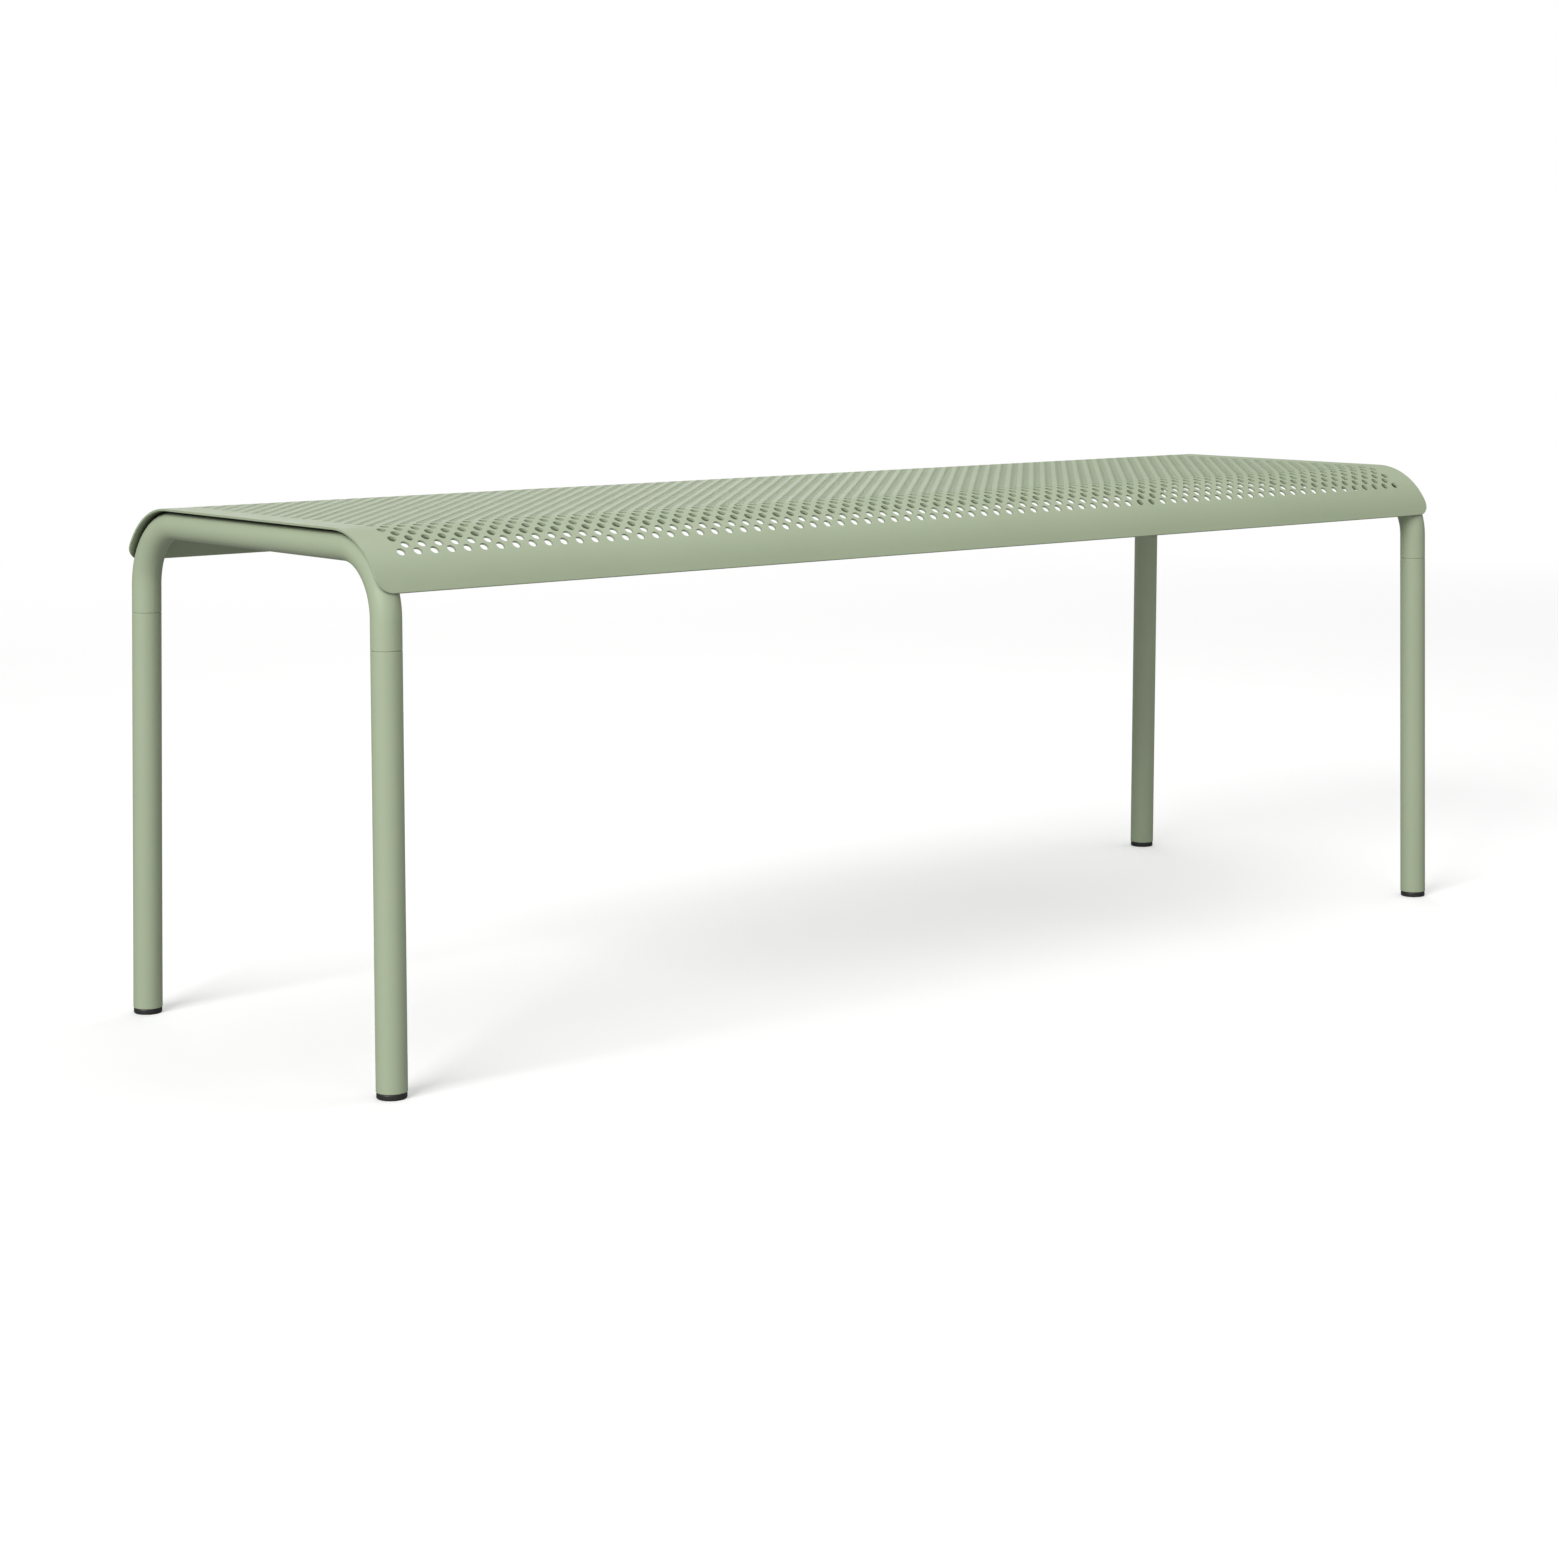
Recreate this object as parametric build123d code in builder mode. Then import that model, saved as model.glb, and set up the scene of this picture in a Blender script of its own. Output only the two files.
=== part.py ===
"""Backless outdoor bench: a perforated sheet seat on two bent-tube hoops with screwed-on lower legs.

Frame: origin on the floor under the middle of the seat, +X along the bench, -Y to the front, +Z up.
All sizes are millimetres. Each physical piece is written as its own STEP file in parts/.
"""
from build123d import *
from math import cos, radians, sin, tan
import os

os.makedirs("parts", exist_ok=True)

# ---- seat sheet ----
SEAT_LENGTH = 1300.0
SEAT_HEIGHT = 448.0
SHEET = 2.0
BEND_OUTER = 70.0
BEND_ANGLE = 67.5
FLAT_HALF = 133.2
LIP = 5.7
LIP_CORNER = 15.0

# ---- perforation: rows run along the bench and step half a pitch sideways each time ----
HOLE_D = 7.6
PITCH = 16.0
ROW_STEP = 8.0
LONG_ROW_HOLES = 78
FLAT_ROWS = 16
OUTER_ROW = 23
STRETCHES = 7

# ---- bent-tube hoops and legs ----
TUBE_OD = 25.4
TUBE_WALL = 2.0
HOOP_SPACING = 1272.0
LEG_LEAN = 0.68
SEAM_HEIGHT = 354.0
END_ROUNDING = 0.6

# ---- feet ----
FOOT_HEIGHT = 5.0
FOOT_D = 24.6
FOOT_NECK_D = 23.6
FOOT_ROUNDING = 1.5
FOOT_STEM_D = 20.4
FOOT_RIB_D = 21.3
FOOT_STEM = 20.0
FOOT_SINK = 0.2

# ---- screwed leg connection ----
PLUG_D = 21.3
SOCKET_LENGTH = 24.0
SOCKET_BORE = 12.2
STUD_D = 12.0
STUD_REACH = 22.0
STUD_PLUG = 22.0
SEAM_GAP = 0.2

# ---- stitch welds between the sheet and each hoop ----
WELD_LENGTH = 28.0
WELD_NEAR = 2.5
WELD_FAR = 7.0
WELD_DEPTH = 3.0
WELD_PLACES = (-105.0, -35.0, 35.0, 105.0)

# ---- derived sizes ----
TUBE_R = TUBE_OD / 2
BORE_R = TUBE_R - TUBE_WALL
HOOP_BEND = BEND_OUTER - SHEET - TUBE_R
HOOP_TOP = SEAT_HEIGHT - SHEET - TUBE_R
BEND_CENTRE_Z = SEAT_HEIGHT - BEND_OUTER
LEAN = radians(LEG_LEAN)
NEUTRAL_R = BEND_OUTER - SHEET / 2
STRETCH_PITCHES = (LONG_ROW_HOLES - 1) // STRETCHES
STRETCH_LENGTH = STRETCH_PITCHES * PITCH
FIRST_HOLE = -(LONG_ROW_HOLES - 1) * PITCH / 2
FIRST_CUT = FIRST_HOLE + PITCH / 4
LAST_CUT = FIRST_CUT + STRETCHES * STRETCH_LENGTH
SEAM_ALONG = SEAM_HEIGHT / cos(LEAN)


def finish(builder, name):
    """Label a finished piece and write its STEP file."""
    builder.part.label = name
    export_step(builder.part, f"parts/{name}.step", write_pcurves=False)
    print(name, "solids", len(builder.part.solids()), "volume", round(builder.part.volume, 1))


def leg_y(z, side):
    """Distance of a leg's axis from the bench's middle at height z; the legs lean outwards."""
    return side * (FLAT_HALF + HOOP_BEND / cos(LEAN) + (BEND_CENTRE_Z - z) * tan(LEAN))


def bend_point(radius, turn, run=0.0):
    """A point of the bent sheet's section: turn in degrees round the bend, then run along the lip."""
    turn = radians(turn)
    y = FLAT_HALF + radius * sin(turn) + run * cos(turn)
    z = BEND_CENTRE_Z + radius * cos(turn) - run * sin(turn)
    return (y, z)


def row_plane(row):
    """The plane that touches the sheet's outer face along one row of holes."""
    side = -1 if row < 0 else 1
    turn = max(0.0, (abs(row) * ROW_STEP - FLAT_HALF) / NEUTRAL_R)
    flat = min(FLAT_HALF, abs(row) * ROW_STEP)
    origin = (0, side * (flat + BEND_OUTER * sin(turn)), BEND_CENTRE_Z + BEND_OUTER * cos(turn))
    return Plane(origin=origin, x_dir=(1, 0, 0), z_dir=(0, side * sin(turn), cos(turn)))


def leg_frame(end, side):
    """A leg's own frame: origin where its axis meets the floor, z up along the leg."""
    foot_point = (end * HOOP_SPACING / 2, leg_y(0, side), 0)
    return Plane(origin=foot_point, x_dir=(1, 0, 0), z_dir=(0, -side * sin(LEAN), cos(LEAN)))


def leg_section(end, side):
    """The plane through a leg's axis that its turned pieces are drawn on, y up along the leg."""
    return leg_frame(end, side).rotated((90, 0, 0))


def leg_axis(end, side):
    """A leg's centre line as an axis."""
    frame = leg_frame(end, side)
    return Axis(frame.origin, frame.z_dir)


# ---- seat panel ----
# The hole pattern repeats, so one stretch is made once and set out along the bench between two ends.
inner_bend = BEND_OUTER - SHEET
flat_rows = range(-FLAT_ROWS, FLAT_ROWS + 1)
bend_rows = [side * row for side in (-1, 1) for row in range(FLAT_ROWS + 1, OUTER_ROW + 1)]

with BuildSketch(Plane.YZ) as sheet_section:
    with BuildLine():
        outer_arc = ThreePointArc(*[bend_point(BEND_OUTER, BEND_ANGLE * part) for part in (0, 0.5, 1)])
        inner_arc = ThreePointArc(*[bend_point(inner_bend, BEND_ANGLE * part) for part in (0, 0.5, 1)])
        outer_lip = bend_point(BEND_OUTER, BEND_ANGLE, LIP)
        inner_lip = bend_point(inner_bend, BEND_ANGLE, LIP)
        Line((0, SEAT_HEIGHT), outer_arc @ 0)
        Polyline(outer_arc @ 1, outer_lip, inner_lip, inner_arc @ 1)
        Polyline(inner_arc @ 0, (0, SEAT_HEIGHT - SHEET), (0, SEAT_HEIGHT))
    make_face()
    mirror(about=Plane.YZ)


def row_holes(row, start, count):
    """Hole centres along one row from a cut line on; every other row is staggered by half a pitch."""
    shift = PITCH / 4 if row % 2 == 0 else 3 * PITCH / 4
    return [start + shift + PITCH * i for i in range(count)]


def punch(plane, centres):
    """Punch holes through the sheet of the part being built."""
    with BuildSketch(plane) as holes:
        with Locations(*centres):
            Circle(HOLE_D / 2)
    extrude(holes.sketch, amount=2 * SHEET, both=True, mode=Mode.SUBTRACT, clean=False)


def round_lip_corners(end):
    """Round the lower corners of both lips at one end of the sheet."""
    for side in (-1, 1):
        y, z = outer_lip
        up_lip = Vector(0, -side * cos(radians(BEND_ANGLE)), sin(radians(BEND_ANGLE)))
        inwards = Vector(-end, 0, 0)
        corner = Plane(origin=(end * SEAT_LENGTH / 2, side * y, z), x_dir=inwards, z_dir=inwards.cross(up_lip))
        with BuildSketch(corner) as offcut:
            with Locations((-1, -1)):
                Rectangle(LIP_CORNER + 1, LIP_CORNER + 1, align=Align.MIN)
            with Locations((LIP_CORNER, LIP_CORNER)):
                Circle(LIP_CORNER, mode=Mode.SUBTRACT)
        extrude(offcut.sketch, amount=5 * SHEET, both=True, mode=Mode.SUBTRACT, clean=False)


def skin(builder, cuts):
    """The faces of a stretch without the ones where it was cut from its neighbours."""
    flat = [f for f in builder.faces() if f.is_planar and abs(f.normal_at().X) > 0.99]
    joints = [f for f in flat if any(abs(f.center().X - x) < 0.01 for x in cuts)]
    return [f for f in builder.faces() if f not in joints]


with BuildPart() as stretch:
    extrude(sheet_section.sketch, amount=STRETCH_LENGTH)
    for row in bend_rows:
        punch(row_plane(row), [(x, 0) for x in row_holes(row, 0, STRETCH_PITCHES)])
    rows = {row: row_holes(row, 0, STRETCH_PITCHES) for row in flat_rows}
    punch(row_plane(0), [(x, row * ROW_STEP) for row in rows for x in rows[row]])

with BuildPart() as left_end:
    extrude(sheet_section.sketch.moved(Location((-SEAT_LENGTH / 2, 0, 0))), amount=SEAT_LENGTH / 2 + FIRST_CUT)
    for row in bend_rows:
        if row % 2:
            punch(row_plane(row), [(FIRST_HOLE, 0)])
    punch(row_plane(0), [(FIRST_HOLE, row * ROW_STEP) for row in flat_rows if row % 2])
    round_lip_corners(-1)

with BuildPart() as right_end:
    extrude(sheet_section.sketch.moved(Location((LAST_CUT, 0, 0))), amount=SEAT_LENGTH / 2 - LAST_CUT)
    round_lip_corners(1)

faces = skin(left_end, [FIRST_CUT]) + skin(right_end, [LAST_CUT])
middle = skin(stretch, [0, STRETCH_LENGTH])
for i in range(STRETCHES):
    place = Location((FIRST_CUT + i * STRETCH_LENGTH, 0, 0))
    faces += [face.moved(place) for face in middle]
sheet = Solid(Shell(faces))

with BuildPart() as seat_panel:
    add(sheet, clean=False)
finish(seat_panel, "seat_panel")

# ---- hoops, legs and feet ----
ends = {"left": -1, "right": 1}
corners = {
    "front_left": (-1, -1),
    "front_right": (1, -1),
    "back_left": (-1, 1),
    "back_right": (1, 1),
}

for end_name, end in ends.items():
    plane = Plane.YZ.offset(end * HOOP_SPACING / 2)
    with BuildPart() as hoop:
        with BuildLine(plane) as path:
            turn = 90 - LEG_LEAN
            radius = HOOP_BEND
            points = [bend_point(radius, turn * part) for part in (1, 0.5, 0)]
            front = [(-y, z) for y, z in points]
            back = points[::-1]
            Line((leg_y(SEAM_HEIGHT, -1), SEAM_HEIGHT), front[0])
            ThreePointArc(*front)
            Line(front[2], back[0])
            ThreePointArc(*back)
            Line(back[2], (leg_y(SEAM_HEIGHT, 1), SEAM_HEIGHT))
        with BuildSketch(Plane(path.line @ 0, z_dir=path.line % 0)):
            Circle(TUBE_R)
            Circle(BORE_R, mode=Mode.SUBTRACT)
        sweep(path=path.line)
        stub_ends = hoop.faces().sort_by(Axis.Z)[:2]
        rims = [face.outer_wire().edges() for face in stub_ends]
        fillet([edge for rim in rims for edge in rim], END_ROUNDING)
    finish(hoop, f"{end_name}_hoop")

    weld_x = end * HOOP_SPACING / 2
    under = SEAT_HEIGHT - SHEET
    with BuildPart() as welds:
        for place in WELD_PLACES:
            with BuildSketch(Plane.XZ.offset(-place)):
                with BuildLine():
                    Polyline(
                        (weld_x - end * WELD_NEAR, under),
                        (weld_x - end * WELD_FAR, under),
                        (weld_x - end * (WELD_FAR - 1), under - WELD_DEPTH),
                        (weld_x - end * WELD_NEAR, under - WELD_DEPTH),
                        close=True,
                    )
                make_face()
                with Locations((weld_x, HOOP_TOP)):
                    Circle(TUBE_R, mode=Mode.SUBTRACT)
            extrude(amount=WELD_LENGTH / 2, both=True)
    finish(welds, f"{end_name}_seat_welds")

for corner_name, (end, side) in corners.items():
    frame = leg_frame(end, side)
    section = leg_section(end, side)
    axis = leg_axis(end, side)

    with BuildPart() as leg:
        with BuildSketch(frame.offset(FOOT_HEIGHT)):
            Circle(TUBE_R)
            Circle(BORE_R, mode=Mode.SUBTRACT)
        extrude(amount=SEAM_ALONG - FOOT_HEIGHT)
        tube_ends = leg.faces().filter_by(GeomType.PLANE)
        rims = [face.outer_wire().edges() for face in tube_ends]
        fillet([edge for rim in rims for edge in rim], END_ROUNDING)
    finish(leg, f"leg_{corner_name}")

    stem_r = FOOT_STEM_D / 2
    rib_r = FOOT_RIB_D / 2
    stem_top = FOOT_HEIGHT + FOOT_STEM
    with BuildPart() as foot:
        with BuildSketch(section):
            with BuildLine():
                Polyline(
                    (0, -FOOT_SINK),
                    (FOOT_D / 2, -FOOT_SINK),
                    (FOOT_D / 2, FOOT_HEIGHT - 1.2),
                    (FOOT_NECK_D / 2, FOOT_HEIGHT),
                    (stem_r, FOOT_HEIGHT),
                    (stem_r, stem_top),
                    (stem_r - 2.2, stem_top),
                    (stem_r - 2.2, FOOT_HEIGHT - 2),
                    (0, FOOT_HEIGHT - 2),
                    close=True,
                )
            make_face()
            for rib in (5, 10, 15):
                with BuildLine():
                    Polyline(
                        (stem_r - 0.5, FOOT_HEIGHT + rib - 1),
                        (rib_r, FOOT_HEIGHT + rib - 1),
                        (rib_r, FOOT_HEIGHT + rib - 0.4),
                        (stem_r, FOOT_HEIGHT + rib + 1),
                        (stem_r - 0.5, FOOT_HEIGHT + rib + 1),
                        close=True,
                    )
                make_face()
        revolve(axis=axis)
        lower_rim = foot.edges().filter_by(GeomType.CIRCLE).sort_by(Axis.Z)[0]
        fillet(lower_rim, FOOT_ROUNDING)
        split(bisect_by=Plane.XY, keep=Keep.TOP)
    finish(foot, f"foot_{corner_name}")

    with BuildPart() as socket:
        with BuildSketch(frame.offset(SEAM_ALONG + SEAM_GAP)):
            Circle(PLUG_D / 2)
            Circle(SOCKET_BORE / 2, mode=Mode.SUBTRACT)
        extrude(amount=SOCKET_LENGTH)
    finish(socket, f"socket_{corner_name}")

    with BuildPart() as stud:
        with BuildSketch(frame.offset(SEAM_ALONG - SEAM_GAP)):
            Circle(PLUG_D / 2)
        extrude(amount=-STUD_PLUG)
        with BuildSketch(frame.offset(SEAM_ALONG - SEAM_GAP)):
            Circle(STUD_D / 2)
        extrude(amount=STUD_REACH)
        tip = stud.edges().filter_by(GeomType.CIRCLE).sort_by(Axis.Z)[-1]
        chamfer(tip, 1.5)
    finish(stud, f"stud_{corner_name}")
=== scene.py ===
"""Looks for the backless perforated bench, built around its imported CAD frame.

Metres throughout. +X runs along the bench, -Y is the front, +Z is up, and the floor is at z = 0.
"""

from math import cos, hypot, pi, radians, sin, sqrt, tau

import bpy
import numpy as np
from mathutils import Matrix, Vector, noise
from mathutils.geometry import delaunay_2d_cdt


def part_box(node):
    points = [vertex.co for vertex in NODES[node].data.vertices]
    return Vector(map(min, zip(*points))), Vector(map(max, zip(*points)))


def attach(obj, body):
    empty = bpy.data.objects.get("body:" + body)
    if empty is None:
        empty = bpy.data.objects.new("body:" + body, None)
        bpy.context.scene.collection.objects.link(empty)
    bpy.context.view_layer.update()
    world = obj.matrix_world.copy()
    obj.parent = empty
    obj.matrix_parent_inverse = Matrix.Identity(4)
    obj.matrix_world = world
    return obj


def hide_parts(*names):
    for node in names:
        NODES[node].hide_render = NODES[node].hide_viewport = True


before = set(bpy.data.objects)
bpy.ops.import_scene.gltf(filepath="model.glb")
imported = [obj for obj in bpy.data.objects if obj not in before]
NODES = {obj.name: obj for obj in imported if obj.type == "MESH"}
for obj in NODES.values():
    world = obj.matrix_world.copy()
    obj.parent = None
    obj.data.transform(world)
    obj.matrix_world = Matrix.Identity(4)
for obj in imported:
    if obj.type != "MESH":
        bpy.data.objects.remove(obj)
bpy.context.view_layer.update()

# ---- seat sheet, the same sizes as the CAD ----
HALF_LENGTH, _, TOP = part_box("seat_panel")[1]
SHEET = 0.002
BEND = 0.070
BEND_TURN = radians(67.5)
FLAT = 0.1332
LIP = 0.0057
NEUTRAL = BEND - SHEET / 2
BEND_END = FLAT + NEUTRAL * BEND_TURN
HALF_GIRTH = BEND_END + LIP
CORNER = 0.015
EDGE_ROUND = 0.0005

# ---- perforation: holes at (i, j) * CELL, where i and j are both odd or both even ----
HOLE_R = 0.0038
CELL = 0.008
LAST_I, LAST_J = 77, 23
HOLE_STEPS = 16

# ---- mesh points of the unpunched border, as developed distances from the sheet's middle ----
COLUMNS = [2 * CELL * i for i in range(-39, 40)]
CORNER_STEPS = 10
FLAT_ROWS = [CELL * j for j in range(-16, 17)]
BEND_STEP = 0.004
BORDER_ROWS = ((0.2, 0), (0.2072, CELL), (BEND_END, 0))  # (distance, shift along x)
BORDER_COLUMNS = (0.632, 0.641)
BORDER_COLUMN_ROWS = [CELL * j for j in range(-24, 25)]
ROUND_X, ROUND_S, ROUND_REACH = 0.632, 0.203, 0.0135  # these points end inside the round corners

# ---- weld beads ----
WELD_PLACES = (-0.105, -0.035, 0.035, 0.105)
WELD_HALF = 0.014
WELD_INWARD = 0.0062  # from the hoop's centre line
WELD_DROP = 0.0011  # below the sheet's underside
WELD_BITE = 0.0004  # into the sheet
BEAD_WIDTH, BEAD_HEIGHT = 0.0024, 0.0019  # half sizes
BEAD_LEAN = 0.0005
RIPPLE = 0.0021
BEAD_AROUND, BEAD_ALONG = 14, 64

# ---- finishes ----
SAGE = (0.370, 0.436, 0.297)
FOOT_BLACK = (0.014, 0.015, 0.014)
ZINC_GREY, ZINC_YELLOW = (0.56, 0.56, 0.55), (0.66, 0.65, 0.60)
# how far the painted crevice shade in the powder coat reaches
CREVICE_SHADE_REACH = 0.008
SCUFF_HEIGHT = 0.0022

# ---- studio ----
AMBIENT = 0.34
WHITE = 1.0
FLOOR_BOUNCE = 0.32
FLOOR_LIFT = 0.25
FLOOR_HALF = 40
FADE_START, FADE_END = 1.2, 4.5
SOFTBOXES = (  # name, place, target, size, power
    ("key_softbox", (-7.0, -2.2, 4.0), (0, 0, 0.3), 4.2, 525),
    ("top_softbox", (1.0, 0.1, 2.6), (0.5, 0, 0.3), 2.4, 27),
    ("back_softbox", (2.2, 4.5, 1.9), (0.1, 0, 0.35), 3.5, 42),
    ("front_fill", (-0.8, -4.2, 0.8), (0.2, 0, 0.25), 2.6, 32),
)
CAMERA_PLACE = (-2.0198, -2.2886, 0.6477)
CAMERA_PITCH, CAMERA_YAW = 2.656, 40.42  # degrees down and to the right
SENSOR, LENS, SHIFT = 36, 73.83, -0.228


# ------------------------------------------------------------------ materials


def new_material(name):
    """An empty node material: (material, node tree, its Principled shader)."""
    made = bpy.data.materials.new(name)
    made.use_nodes = True
    tree = made.node_tree
    return made, tree, tree.nodes["Principled BSDF"]


def object_coords(tree):
    return tree.nodes.new("ShaderNodeTexCoord").outputs["Object"]


def noise_node(tree, coords, scale, detail=2.0, rough=0.5, stretch=None):
    """A noise texture in object space; stretch scales its axes."""
    node = tree.nodes.new("ShaderNodeTexNoise")
    node.inputs["Scale"].default_value = scale
    node.inputs["Detail"].default_value = detail
    node.inputs["Roughness"].default_value = rough
    if stretch:
        mapping = tree.nodes.new("ShaderNodeMapping")
        mapping.inputs["Scale"].default_value = stretch
        tree.links.new(coords, mapping.inputs["Vector"])
        coords = mapping.outputs["Vector"]
    tree.links.new(coords, node.inputs["Vector"])
    return node.outputs["Fac"]


def remap(tree, value, low, high, to_low, to_high):
    """A value mapped from low..high to to_low..to_high, clamped."""
    node = tree.nodes.new("ShaderNodeMapRange")
    node.inputs["From Min"].default_value = low
    node.inputs["From Max"].default_value = high
    node.inputs["To Min"].default_value = to_low
    node.inputs["To Max"].default_value = to_high
    tree.links.new(value, node.inputs["Value"])
    return node.outputs["Result"]


def mix_colours(tree, factor, a, b):
    """A colour that goes from a to b; each is a colour or another node's output."""
    node = tree.nodes.new("ShaderNodeMix")
    node.data_type = "RGBA"
    tree.links.new(factor, node.inputs["Factor"])
    # A Mix node has one set of sockets for each data type: 6, 7 and 2 are its colours.
    for socket, colour in ((node.inputs[6], a), (node.inputs[7], b)):
        if isinstance(colour, tuple):
            socket.default_value = (*colour, 1)
        else:
            tree.links.new(colour, socket)
    return node.outputs[2]


def bump(tree, shader, layers):
    """Stacks bump layers: (height output, strength, distance in metres)."""
    last = None
    for height, strength, distance in layers:
        node = tree.nodes.new("ShaderNodeBump")
        node.inputs["Strength"].default_value = strength
        node.inputs["Distance"].default_value = distance
        tree.links.new(height, node.inputs["Height"])
        if last:
            tree.links.new(last, node.inputs["Normal"])
        last = node.outputs["Normal"]
    tree.links.new(last, shader.inputs["Normal"])


def tinted(colour, by):
    """A colour made lighter or darker."""
    return tuple(c * by for c in colour)


def powder_coat(name, colour, shade_holes_and_rim=False):
    """Satin powder coat: broad drift in tone, fine grain, orange peel, and painted shade that
    darkens its crevices.

    With its last argument set, painted shade darkens the hole walls and the sheet's rounded edge,
    the faces marked by a face attribute of the sheet mesh.
    """
    made, tree, shader = new_material(name)
    coords = object_coords(tree)
    drift = noise_node(tree, coords, 5.0, 3.0)
    blotch = noise_node(tree, coords, 60.0, 2.0)
    grain = noise_node(tree, coords, 2600.0, 1.0)
    peel = noise_node(tree, coords, 620.0, 1.0, 0.4)
    drifted = remap(tree, drift, 0.3, 0.7, 0, 1)
    base = mix_colours(tree, drifted, tinted(colour, 0.972), tinted(colour, 1.028))
    warm = tuple(c * k for c, k in zip(colour, (1.035, 1.0, 0.955)))
    base = mix_colours(tree, remap(tree, blotch, 0.35, 0.75, 0, 0.35), base, warm)
    base = mix_colours(tree, remap(tree, grain, 0.55, 0.8, 0, 0.22), base, tinted(colour, 0.82))
    if shade_holes_and_rim:
        # Painted shade on the hole walls and the sheet's rounded edge.
        edge = tree.nodes.new("ShaderNodeAttribute")
        edge.attribute_name = "painted_shade_face"
        base = mix_colours(tree, edge.outputs["Fac"], base, tinted(colour, 0.88))
    # Painted shade: ambient occlusion turns the coat nearly black in crevices, such as under the
    # sheet's edge on the tubes.
    crevice = tree.nodes.new("ShaderNodeAmbientOcclusion")
    crevice.inputs["Distance"].default_value = CREVICE_SHADE_REACH
    crevice.samples = 6
    painted_crevice_shade = remap(tree, crevice.outputs["AO"], 0.18, 0.66, 0.96, 0)
    base = mix_colours(tree, painted_crevice_shade, base, tinted(colour, 0.07))
    tree.links.new(base, shader.inputs["Base Color"])
    tree.links.new(remap(tree, blotch, 0.3, 0.7, 0.47, 0.56), shader.inputs["Roughness"])
    shader.inputs["Specular IOR Level"].default_value = 0.5
    bump(tree, shader, [(peel, 0.22, 0.00012), (grain, 0.12, 0.00003)])
    return made


def moulded_plastic(name, colour):
    """Moulded plastic: spark-eroded grain, with paler scuffs where it meets the floor."""
    made, tree, shader = new_material(name)
    coords = object_coords(tree)
    grain = noise_node(tree, coords, 1800.0, 3.0, 0.7)
    scuff = noise_node(tree, coords, 260.0, 4.0, 0.65, stretch=(1, 1, 3))
    height = tree.nodes.new("ShaderNodeSeparateXYZ")
    tree.links.new(coords, height.inputs[0])
    low = remap(tree, height.outputs["Z"], 0.0, SCUFF_HEIGHT, 1, 0)
    worn = tree.nodes.new("ShaderNodeMath")
    worn.operation = "MULTIPLY"
    tree.links.new(low, worn.inputs[0])
    tree.links.new(remap(tree, scuff, 0.5, 0.72, 0, 0.8), worn.inputs[1])
    grained = remap(tree, grain, 0.35, 0.7, 0, 1)
    base = mix_colours(tree, grained, tinted(colour, 0.8), tinted(colour, 1.3))
    base = mix_colours(tree, worn.outputs[0], base, tinted(colour, 3.5))
    tree.links.new(base, shader.inputs["Base Color"])
    tree.links.new(remap(tree, scuff, 0.3, 0.7, 0.42, 0.62), shader.inputs["Roughness"])
    bump(tree, shader, [(grain, 0.35, 0.00006)])
    return made


def zinc_steel(name):
    """Zinc-plated turned steel: fine turning lines and a slightly milky, yellowish film."""
    made, tree, shader = new_material(name)
    coords = object_coords(tree)
    lines = noise_node(tree, coords, 300.0, 2.0, 0.6, stretch=(0.2, 0.2, 12))
    film = noise_node(tree, coords, 120.0, 3.0)
    base = mix_colours(tree, remap(tree, film, 0.3, 0.7, 0, 1), ZINC_GREY, ZINC_YELLOW)
    tree.links.new(base, shader.inputs["Base Color"])
    tree.links.new(remap(tree, lines, 0.3, 0.7, 0.28, 0.45), shader.inputs["Roughness"])
    shader.inputs["Metallic"].default_value = 1.0
    bump(tree, shader, [(lines, 0.3, 0.00004)])
    return made


# ------------------------------------------------------------------ seat sheet


def sheet_frame(s):
    """The bent sheet at developed distances s from its middle: (side, turn, run past the bend)."""
    side = np.where(s < 0, -1.0, 1.0)
    turn = np.clip((np.abs(s) - FLAT) / NEUTRAL, 0, BEND_TURN)
    run = np.maximum(np.abs(s) - BEND_END, 0)
    return side, turn, run


def bend_up(flat_points):
    """Points (x, developed distance, depth under the outer face) on the bent sheet."""
    x, s, depth = flat_points.T
    side, turn, run = sheet_frame(s)
    radius = BEND - depth
    y = np.minimum(np.abs(s), FLAT) + radius * np.sin(turn) + run * np.cos(turn)
    z = TOP - BEND + radius * np.cos(turn) - run * np.sin(turn)
    return np.stack([x, side * y, z], axis=1)


def bend_normals(s, local):
    """Directions (along x, across the sheet, out of the sheet), turned with the sheet at s."""
    side, turn, _ = sheet_frame(s)
    along, over, out = local.T
    y = over * np.cos(turn) + out * side * np.sin(turn)
    z = out * np.cos(turn) - over * side * np.sin(turn)
    return np.stack([along, y, z], axis=1)


def is_punched(x, s):
    """True where a flat point lies in the field of punched cells."""
    u = 2 * round((x + s) / CELL / 2)
    v = 2 * round((x - s) / CELL / 2)
    return abs((u + v) // 2) <= LAST_I and abs((u - v) // 2) <= LAST_J


def field_outline():
    """The zigzag outline of the punched cells, anticlockwise, as (i, j) corners."""
    right, upper = [], []
    for j in range(-LAST_J, LAST_J + 1, 2):
        right += [(LAST_I + 1, j), (LAST_I, j + 1)]
    right.pop()
    for i in range(LAST_I, -LAST_I - 1, -2):
        upper += [(i, LAST_J + 1), (i - 1, LAST_J)]
    upper.pop()
    return right + upper + [(-i, -j) for i, j in right] + [(-i, -j) for i, j in upper]


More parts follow.
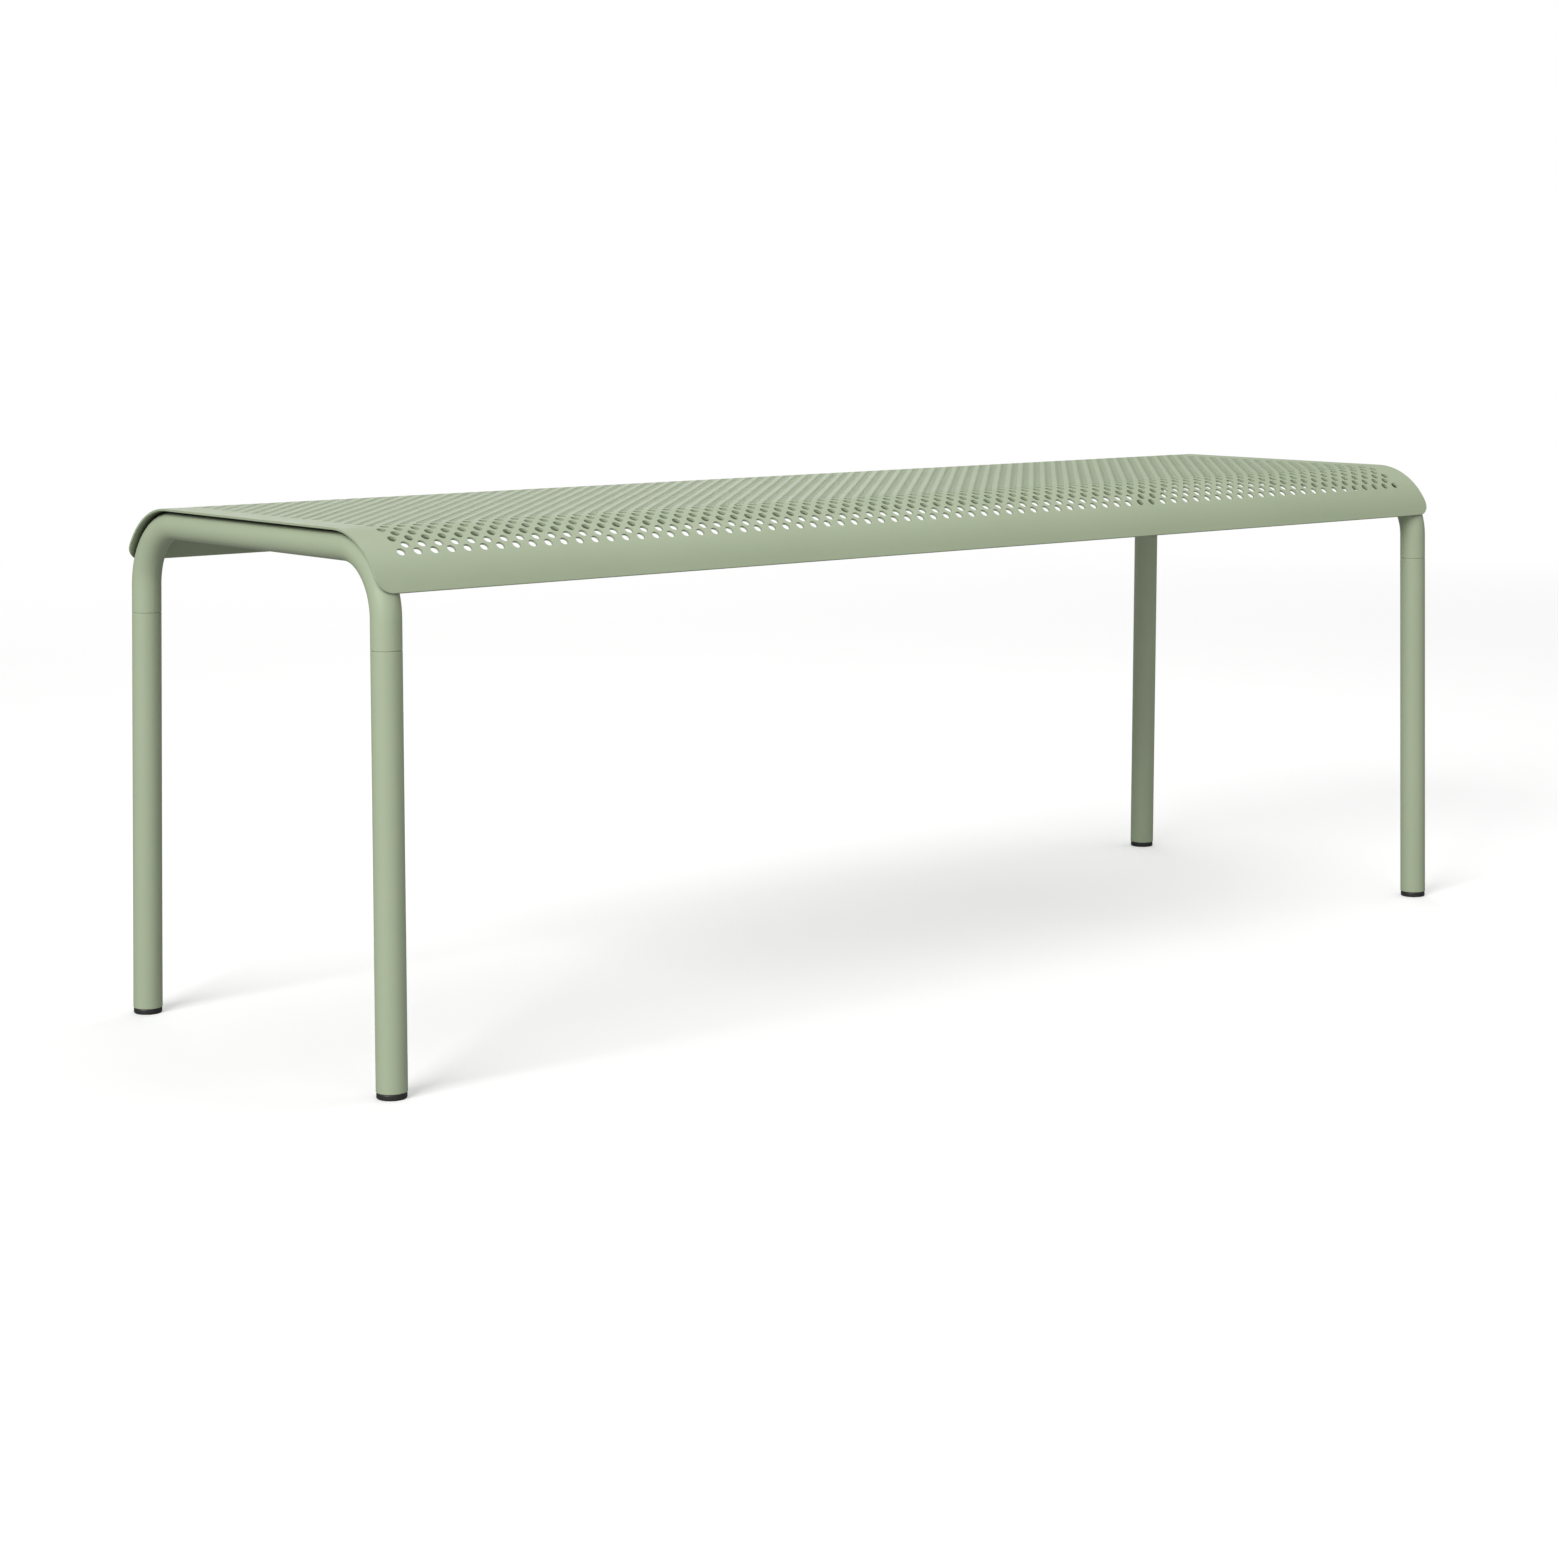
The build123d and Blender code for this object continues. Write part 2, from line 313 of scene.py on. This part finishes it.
def rim_outline():
    """The sheet's developed outline, anticlockwise: (x, s, outwards x, outwards s, radius).

    In a corner, (x, s) is the corner's centre. On a straight side it is on the side, with radius 0.
    """
    bend_rows = np.arange(FLAT, HALF_GIRTH - CORNER, BEND_STEP).tolist()
    rows = [-s for s in reversed(bend_rows)] + FLAT_ROWS + bend_rows
    mid_x, mid_s = HALF_LENGTH - CORNER, HALF_GIRTH - CORNER
    turns = [pi / 2 * k / CORNER_STEPS for k in range(CORNER_STEPS + 1)]

    def arc(sign_x, sign_s, start):
        x, s = sign_x * mid_x, sign_s * mid_s
        return [(x, s, cos(start + t), sin(start + t), CORNER) for t in turns]

    points = [(x, -HALF_GIRTH, 0, -1, 0) for x in COLUMNS]
    points += arc(1, -1, -pi / 2)
    points += [(HALF_LENGTH, s, 1, 0, 0) for s in rows]
    points += arc(1, 1, 0)
    points += [(x, HALF_GIRTH, 0, 1, 0) for x in reversed(COLUMNS)]
    points += arc(-1, 1, pi / 2)
    points += [(-HALF_LENGTH, s, -1, 0, 0) for s in reversed(rows)]
    points += arc(-1, -1, pi)
    return points


def border_points():
    """Extra points that keep the unpunched border's triangles well shaped on the bends."""
    points = []
    for s, shift in BORDER_ROWS:
        points += [(x + shift, side * s) for x in COLUMNS for side in (-1, 1)]
    for x in BORDER_COLUMNS:
        points += [(side * x, s) for s in BORDER_COLUMN_ROWS for side in (-1, 1)]

    def past_corner(x, s):
        return hypot(max(abs(x) - ROUND_X, 0), max(abs(s) - ROUND_S, 0))

    return [(x, s) for x, s in points if past_corner(x, s) < ROUND_REACH]


UPPER, UNDER, OWN = 0, 1, 2


class Sheet:
    """Points (x, s, depth) and faces of the flat sheet.

    A face's kind says which normal it gets: the upper side's, the underside's, or its points' own.
    """

    def __init__(self):
        self.points, self.normals = [], []
        self.faces, self.kinds = [], []

    def point(self, x, s, depth, normal=(0, 0, 1)):
        self.points.append((x, s, depth))
        self.normals.append(normal)
        return len(self.points) - 1

    def both_sides(self, x, s):
        return [self.point(x, s, depth) for depth in (0, SHEET)]

    def face(self, corners, kind):
        self.faces.append(corners)
        self.kinds.append(kind)


def punched_cells(sheet):
    """The field of holes. Each sits in a diamond cell, and neighbours share the cells' corners."""
    corners = {}
    quarter = HOLE_STEPS // 4
    ring = [(cos(tau * k / HOLE_STEPS), sin(tau * k / HOLE_STEPS)) for k in range(HOLE_STEPS)]

    def corner(i, j):
        if (i, j) not in corners:
            corners[i, j] = sheet.both_sides(i * CELL, j * CELL)
        return corners[i, j]

    def circle(x, s, depth):
        return [sheet.point(x + HOLE_R * c, s + HOLE_R * d, depth, (-c, -d, 0)) for c, d in ring]

    for j in range(-LAST_J, LAST_J + 1):
        for i in range(-LAST_I, LAST_I + 1):
            if (i - j) % 2:
                continue
            upper = circle(i * CELL, j * CELL, 0)
            under = circle(i * CELL, j * CELL, SHEET)
            tips = [corner(i + 1, j), corner(i, j + 1), corner(i - 1, j), corner(i, j - 1)]
            for q in range(4):
                tip, after = tips[q], tips[(q + 1) % 4]
                for k in range(quarter * q - quarter // 2, quarter * q + quarter // 2):
                    a, b = k % HOLE_STEPS, (k + 1) % HOLE_STEPS
                    sheet.face((upper[a], tip[0], upper[b]), UPPER)
                    sheet.face((under[b], tip[1], under[a]), UNDER)
                m = quarter * q + quarter // 2
                sheet.face((tip[0], after[0], upper[m]), UPPER)
                sheet.face((after[1], tip[1], under[m]), UNDER)
            for a in range(HOLE_STEPS):
                b = (a + 1) % HOLE_STEPS
                sheet.face((upper[a], upper[b], under[b], under[a]), OWN)
    return corners


def rounded_edge(sheet):
    """The sheet's rounded outer edge; gives its pairs of points on the upper and the underside."""
    bevel = EDGE_ROUND * (1 - sqrt(0.5))
    profile = [  # (inset, depth, lean of the normal)
        (EDGE_ROUND, 0, pi / 2),
        (bevel, bevel, pi / 4),
        (0, EDGE_ROUND, 0),
        (0, SHEET - EDGE_ROUND, 0),
        (bevel, SHEET - bevel, -pi / 4),
        (EDGE_ROUND, SHEET, -pi / 2),
    ]
    outline = rim_outline()
    rings = []
    for inset, depth, lean in profile:
        ring = []
        for x, s, out_x, out_s, radius in outline:
            reach = radius - inset
            normal = (out_x * cos(lean), out_s * cos(lean), sin(lean))
            ring.append(sheet.point(x + out_x * reach, s + out_s * reach, depth, normal))
        rings.append(ring)
    count = len(outline)
    for outer, inner in zip(rings, rings[1:]):
        for a in range(count):
            b = (a + 1) % count
            sheet.face((outer[b], outer[a], inner[a], inner[b]), OWN)
    return list(zip(rings[0], rings[-1]))


def plain_border(sheet, field_pairs, rim_pairs):
    """The unpunched border between the holes' field and the sheet's edge, on both sides."""
    pairs = field_pairs + rim_pairs + [sheet.both_sides(x, s) for x, s in border_points()]
    places = [Vector(sheet.points[pair[0]][:2]) for pair in pairs]
    edges = []
    for start, size in ((0, len(field_pairs)), (len(field_pairs), len(rim_pairs))):
        edges += [(start + k, start + (k + 1) % size) for k in range(size)]
    verts, _, faces, origins, _, _ = delaunay_2d_cdt(places, edges, [], 0, 1e-7)
    for face in faces:
        x = sum(verts[k].x for k in face) / 3
        s = sum(verts[k].y for k in face) / 3
        if is_punched(x, s):
            continue
        corners = [pairs[origins[k][0]] for k in face]
        area = sum(
            verts[face[k - 1]].x * verts[face[k]].y - verts[face[k]].x * verts[face[k - 1]].y
            for k in range(3)
        )
        if area < 0:
            corners.reverse()
        sheet.face(tuple(pair[0] for pair in corners), UPPER)
        sheet.face(tuple(pair[1] for pair in reversed(corners)), UNDER)


def mesh_object(name, verts, faces, material):
    """A linked, smooth mesh object."""
    mesh = bpy.data.meshes.new(name)
    mesh.from_pydata(verts, [], faces)
    mesh.polygons.foreach_set("use_smooth", [True] * len(mesh.polygons))
    mesh.materials.append(material)
    made = bpy.data.objects.new(name, mesh)
    bpy.context.scene.collection.objects.link(made)
    return made


def make_seat(material):
    """The punched and bent seat sheet, with exact normals so that its bends shade smoothly."""
    sheet = Sheet()
    corners = punched_cells(sheet)
    rim_pairs = rounded_edge(sheet)
    plain_border(sheet, [corners[key] for key in field_outline()], rim_pairs)
    flat_points = np.array(sheet.points)
    own = np.array(sheet.normals, dtype=float)
    made = mesh_object("seat_sheet", bend_up(flat_points).tolist(), sheet.faces, material)
    mesh = made.data

    which = np.empty(len(mesh.loops), dtype=int)
    mesh.loops.foreach_get("vertex_index", which)
    sizes = np.empty(len(mesh.polygons), dtype=int)
    mesh.polygons.foreach_get("loop_total", sizes)
    kinds = np.repeat(np.array(sheet.kinds), sizes)
    local = own[which]
    local[kinds == UPPER] = (0, 0, 1)
    local[kinds == UNDER] = (0, 0, -1)
    normals = bend_normals(flat_points[which, 1], local)
    mesh.normals_split_custom_set(normals.tolist())

    # Marks the hole walls and rounded edge for the coat's painted shade.
    painted_shade_face = mesh.attributes.new("painted_shade_face", "FLOAT", "FACE")
    painted_shade_face.data.foreach_set("value", [float(kind == OWN) for kind in sheet.kinds])
    return made


# ------------------------------------------------------------------ weld beads


def make_welds(name, end, material):
    """Rippled weld beads in the crevice between the sheet and one hoop, seen from below."""
    hoop_low, hoop_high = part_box(f"{name}_hoop")
    hoop_x = (hoop_low[0] + hoop_high[0]) / 2
    under = TOP - SHEET
    verts, faces = [], []
    for place in WELD_PLACES:
        start = len(verts)
        for k in range(BEAD_ALONG + 1):
            run = -WELD_HALF + 2 * WELD_HALF * k / BEAD_ALONG
            taper = sqrt(max(1 - abs(run / WELD_HALF) ** 5, 0.04))
            wave = (run / RIPPLE) % 1
            uneven = noise.noise(Vector((run * 700, place * 90, end)))
            swell = taper * (1 + 0.11 * (1 - wave) ** 2 + 0.05 * uneven)
            for m in range(BEAD_AROUND):
                angle = tau * m / BEAD_AROUND
                x = hoop_x - end * (WELD_INWARD + BEAD_WIDTH * swell * cos(angle))
                y = place + run + BEAD_LEAN * sin(angle)
                z = min(under - WELD_DROP + BEAD_HEIGHT * swell * sin(angle), under + WELD_BITE)
                verts.append((x, y, z))
        for k in range(BEAD_ALONG):
            near = start + k * BEAD_AROUND
            for m in range(BEAD_AROUND):
                a, b = near + m, near + (m + 1) % BEAD_AROUND
                c, d = b + BEAD_AROUND, a + BEAD_AROUND
                faces.append((a, b, c, d) if end > 0 else (a, d, c, b))
        first = [start + m for m in range(BEAD_AROUND)]
        last = [start + BEAD_ALONG * BEAD_AROUND + m for m in range(BEAD_AROUND)]
        faces.append(tuple(first[::-1] if end > 0 else first))
        faces.append(tuple(last if end > 0 else last[::-1]))
    return mesh_object(f"{name}_weld_beads", verts, faces, material)


# ------------------------------------------------------------------ floor, light and camera


def camera_only(tree, for_light, seen):
    """A grey for light that bounces, and another for what the camera sees."""
    path = tree.nodes.new("ShaderNodeLightPath")
    return mix_colours(tree, path.outputs["Is Camera Ray"], (for_light,) * 3, (seen,) * 3)


def make_floor():
    """A plain pale studio floor that fades to white away from the object."""
    made, tree, shader = new_material("pale_floor")
    coords = object_coords(tree)
    drift = noise_node(tree, coords, 1.5, 3.0)
    pale = mix_colours(tree, drift, (0.86, 0.86, 0.857), (0.88, 0.88, 0.877))
    path = tree.nodes.new("ShaderNodeLightPath")
    colour = mix_colours(tree, path.outputs["Is Camera Ray"], (FLOOR_BOUNCE,) * 3, pale)
    tree.links.new(colour, shader.inputs["Base Color"])
    shader.inputs["Roughness"].default_value = 0.9
    shader.inputs["Specular IOR Level"].default_value = 0.1
    tree.links.new(camera_only(tree, 0.0, FLOOR_LIFT), shader.inputs["Emission Color"])
    shader.inputs["Emission Strength"].default_value = 1.0

    away = tree.nodes.new("ShaderNodeVectorMath")
    away.operation = "LENGTH"
    tree.links.new(coords, away.inputs[0])
    glow = tree.nodes.new("ShaderNodeEmission")
    tree.links.new(camera_only(tree, AMBIENT, WHITE), glow.inputs["Color"])
    fade = tree.nodes.new("ShaderNodeMixShader")
    tree.links.new(remap(tree, away.outputs["Value"], FADE_START, FADE_END, 0, 1), fade.inputs[0])
    tree.links.new(shader.outputs[0], fade.inputs[1])
    tree.links.new(glow.outputs[0], fade.inputs[2])
    tree.links.new(fade.outputs[0], tree.nodes["Material Output"].inputs["Surface"])
    corners = [(x * FLOOR_HALF, y * FLOOR_HALF, 0) for x, y in ((-1, -1), (1, -1), (1, 1), (-1, 1))]
    floor = mesh_object("studio_floor", corners, [(0, 1, 2, 3)], made)


def make_world():
    """Plain white behind the object, and a softer light from all around."""
    world = bpy.data.worlds.new("studio")
    bpy.context.scene.world = world
    world.use_nodes = True
    tree = world.node_tree
    tree.links.new(camera_only(tree, AMBIENT, WHITE), tree.nodes["Background"].inputs["Color"])


def soft_light(name, place, target, size, power):
    """A square softbox aimed at a point."""
    data = bpy.data.lights.new(name, "AREA")
    data.shape = "SQUARE"
    data.size = size
    data.energy = power
    lamp = bpy.data.objects.new(name, data)
    lamp.location = place
    lamp.rotation_euler = (Vector(target) - Vector(place)).to_track_quat("-Z", "Y").to_euler()
    bpy.context.scene.collection.objects.link(lamp)


def make_camera():
    lens = bpy.data.cameras.new("camera")
    lens.sensor_width = SENSOR
    lens.lens = LENS
    lens.shift_y = SHIFT
    camera = bpy.data.objects.new("camera", lens)
    camera.location = CAMERA_PLACE
    camera.rotation_euler = (radians(90 - CAMERA_PITCH), 0, radians(-CAMERA_YAW))
    bpy.context.scene.collection.objects.link(camera)
    return camera


# ------------------------------------------------------------------ the object

coat = powder_coat("sage_powder_coat", SAGE)
punched_coat = powder_coat("sage_powder_coat_punched", SAGE, shade_holes_and_rim=True)
plastic = moulded_plastic("black_foot_plastic", FOOT_BLACK)
zinc = zinc_steel("zinc_plated_steel")

finishes = (("foot_", plastic), ("socket_", zinc), ("stud_", zinc), ("", coat))
for node_name, node in NODES.items():
    finish = next(material for start, material in finishes if node_name.startswith(start))
    if not node.data.materials:
        node.data.materials.append(finish)
    for slot in node.material_slots:
        slot.material = finish

seat = make_seat(punched_coat)
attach(seat, "root")
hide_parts("seat_panel")

for side_name, end in (("left", -1), ("right", 1)):
    welds = make_welds(side_name, end, coat)
    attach(welds, "root")
    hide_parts(f"{side_name}_seat_welds")

# ------------------------------------------------------------------ the studio

make_floor()
make_world()
for softbox in SOFTBOXES:
    soft_light(*softbox)
scene = bpy.context.scene
scene.camera = make_camera()
scene.view_settings.view_transform = "Standard"
